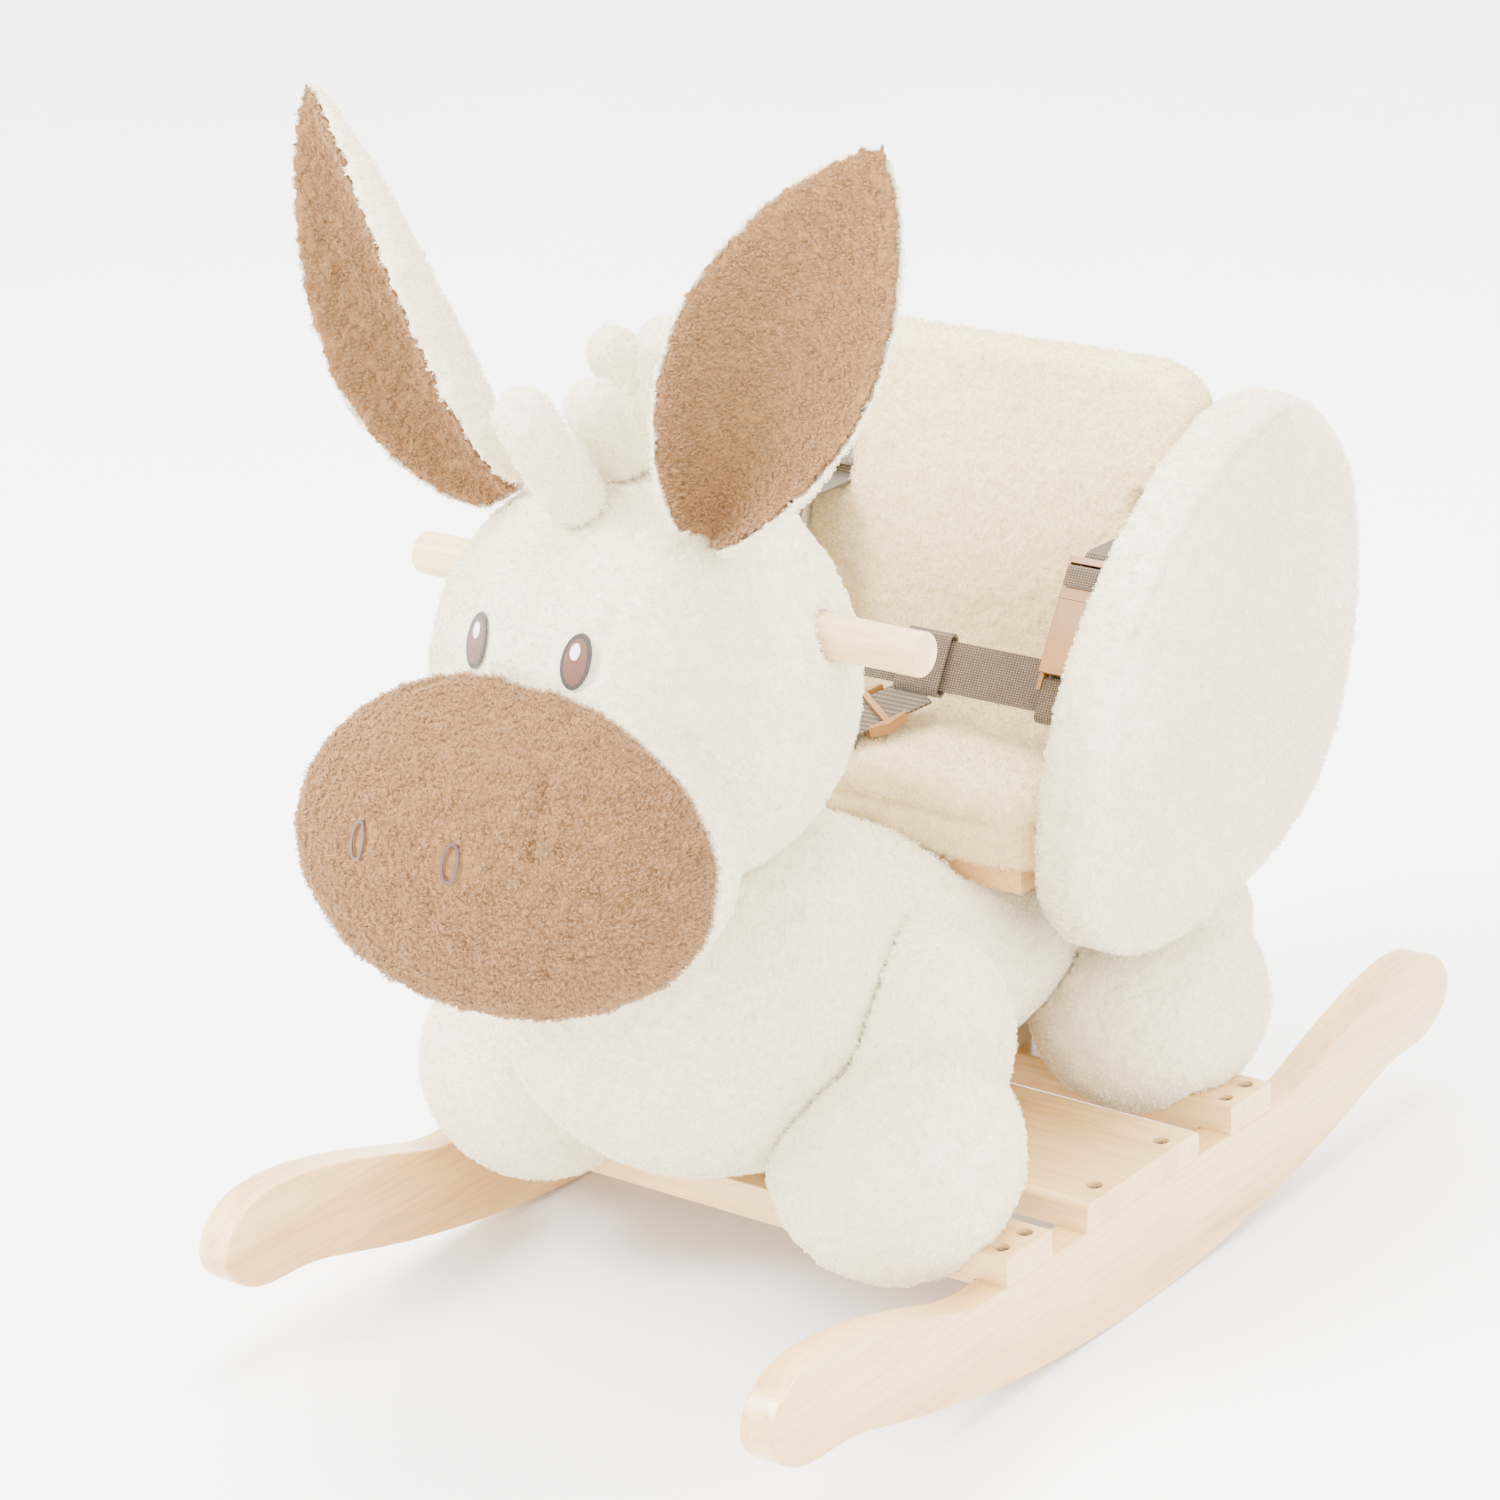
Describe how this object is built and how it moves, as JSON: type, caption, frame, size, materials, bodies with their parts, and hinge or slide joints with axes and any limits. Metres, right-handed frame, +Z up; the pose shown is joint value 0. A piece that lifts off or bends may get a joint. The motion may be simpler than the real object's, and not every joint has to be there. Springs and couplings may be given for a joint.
{
  "type": "plush donkey rocking horse",
  "caption": "Plush donkey rocker with padded seat, side wings, handle and belt on curved wooden runners.",
  "frame": {"origin": "on the floor, midway between the runners, where the rocker arc touches", "axes": "+Z up, the nose points to -Y, the animal's left side is +X"},
  "size_m": [0.3533, 0.621, 0.5946],
  "materials": {
    "varnished_wood": "gloss",
    "beech": "matte",
    "plywood": "matte",
    "steel": "satin",
    "cream_plush": "matte",
    "warm_cream_plush": "matte",
    "brown_plush": "matte",
    "brown_thread": "satin",
    "webbing": "matte",
    "tan_plastic": "satin",
    "cotton": "matte"
  },
  "bodies": {
    "rocker": {"anchor_plates": "steel", "anchor_screws": "steel", "anchor_strap": "webbing", "back_screws": "steel", "backrest_board": "plywood", "backrest_pad": "warm_cream_plush", "base_skirt": "cotton", "buckle_socket": "tan_plastic", "crotch_strap": "webbing", "deck_screws": "steel", "ear_left_back": "cream_plush", "ear_left_lining": "brown_plush", "ear_right_back": "cream_plush", "ear_right_lining": "brown_plush", "eye_embroidery": "brown_thread", "frame_screws": "steel", "handle_dowel": "beech", "handle_pin": "steel", "head_plush": "cream_plush", "leg_front_left": "cream_plush", "leg_front_right": "cream_plush", "leg_rear_left": "cream_plush", "leg_rear_right": "cream_plush", "mane_tuft_front": "cream_plush", "mane_tuft_middle": "cream_plush", "mane_tuft_rear": "cream_plush", "middle_board": "varnished_wood", "muzzle_plush": "brown_plush", "neck_bolts": "steel", "neck_post": "beech", "nostril_embroidery": "brown_thread", "panel_front": "plywood", "panel_rear": "plywood", "runner_left": "varnished_wood", "runner_right": "varnished_wood", "seat_board": "plywood", "seat_cushion": "warm_cream_plush", "side_rail_left": "plywood", "side_rail_right": "plywood", "slat_front": "varnished_wood", "slat_rear": "varnished_wood", "torso_plush": "cream_plush", "waist_strap": "webbing", "wing_board_left": "plywood", "wing_board_right": "plywood", "wing_pad_left": "cream_plush", "wing_pad_right": "cream_plush", "wing_screws": "steel"},
    "slide_on_strap": {"triglide": "tan_plastic"},
    "plug": {"buckle_plug": "tan_plastic"}
  },
  "joints": [
    {"name": "triglide_slide", "type": "slide", "parent": "rocker", "child": "slide_on_strap", "axis": [0.5456, 0.7842, 0.2955], "range_m": [-0.003, 0.003]},
    {"name": "buckle_release", "type": "slide", "parent": "rocker", "child": "plug", "axis": [0, 0.5, 0.866], "range_m": [0, 0.032], "deforming": ["anchor_strap"]}
  ]
}
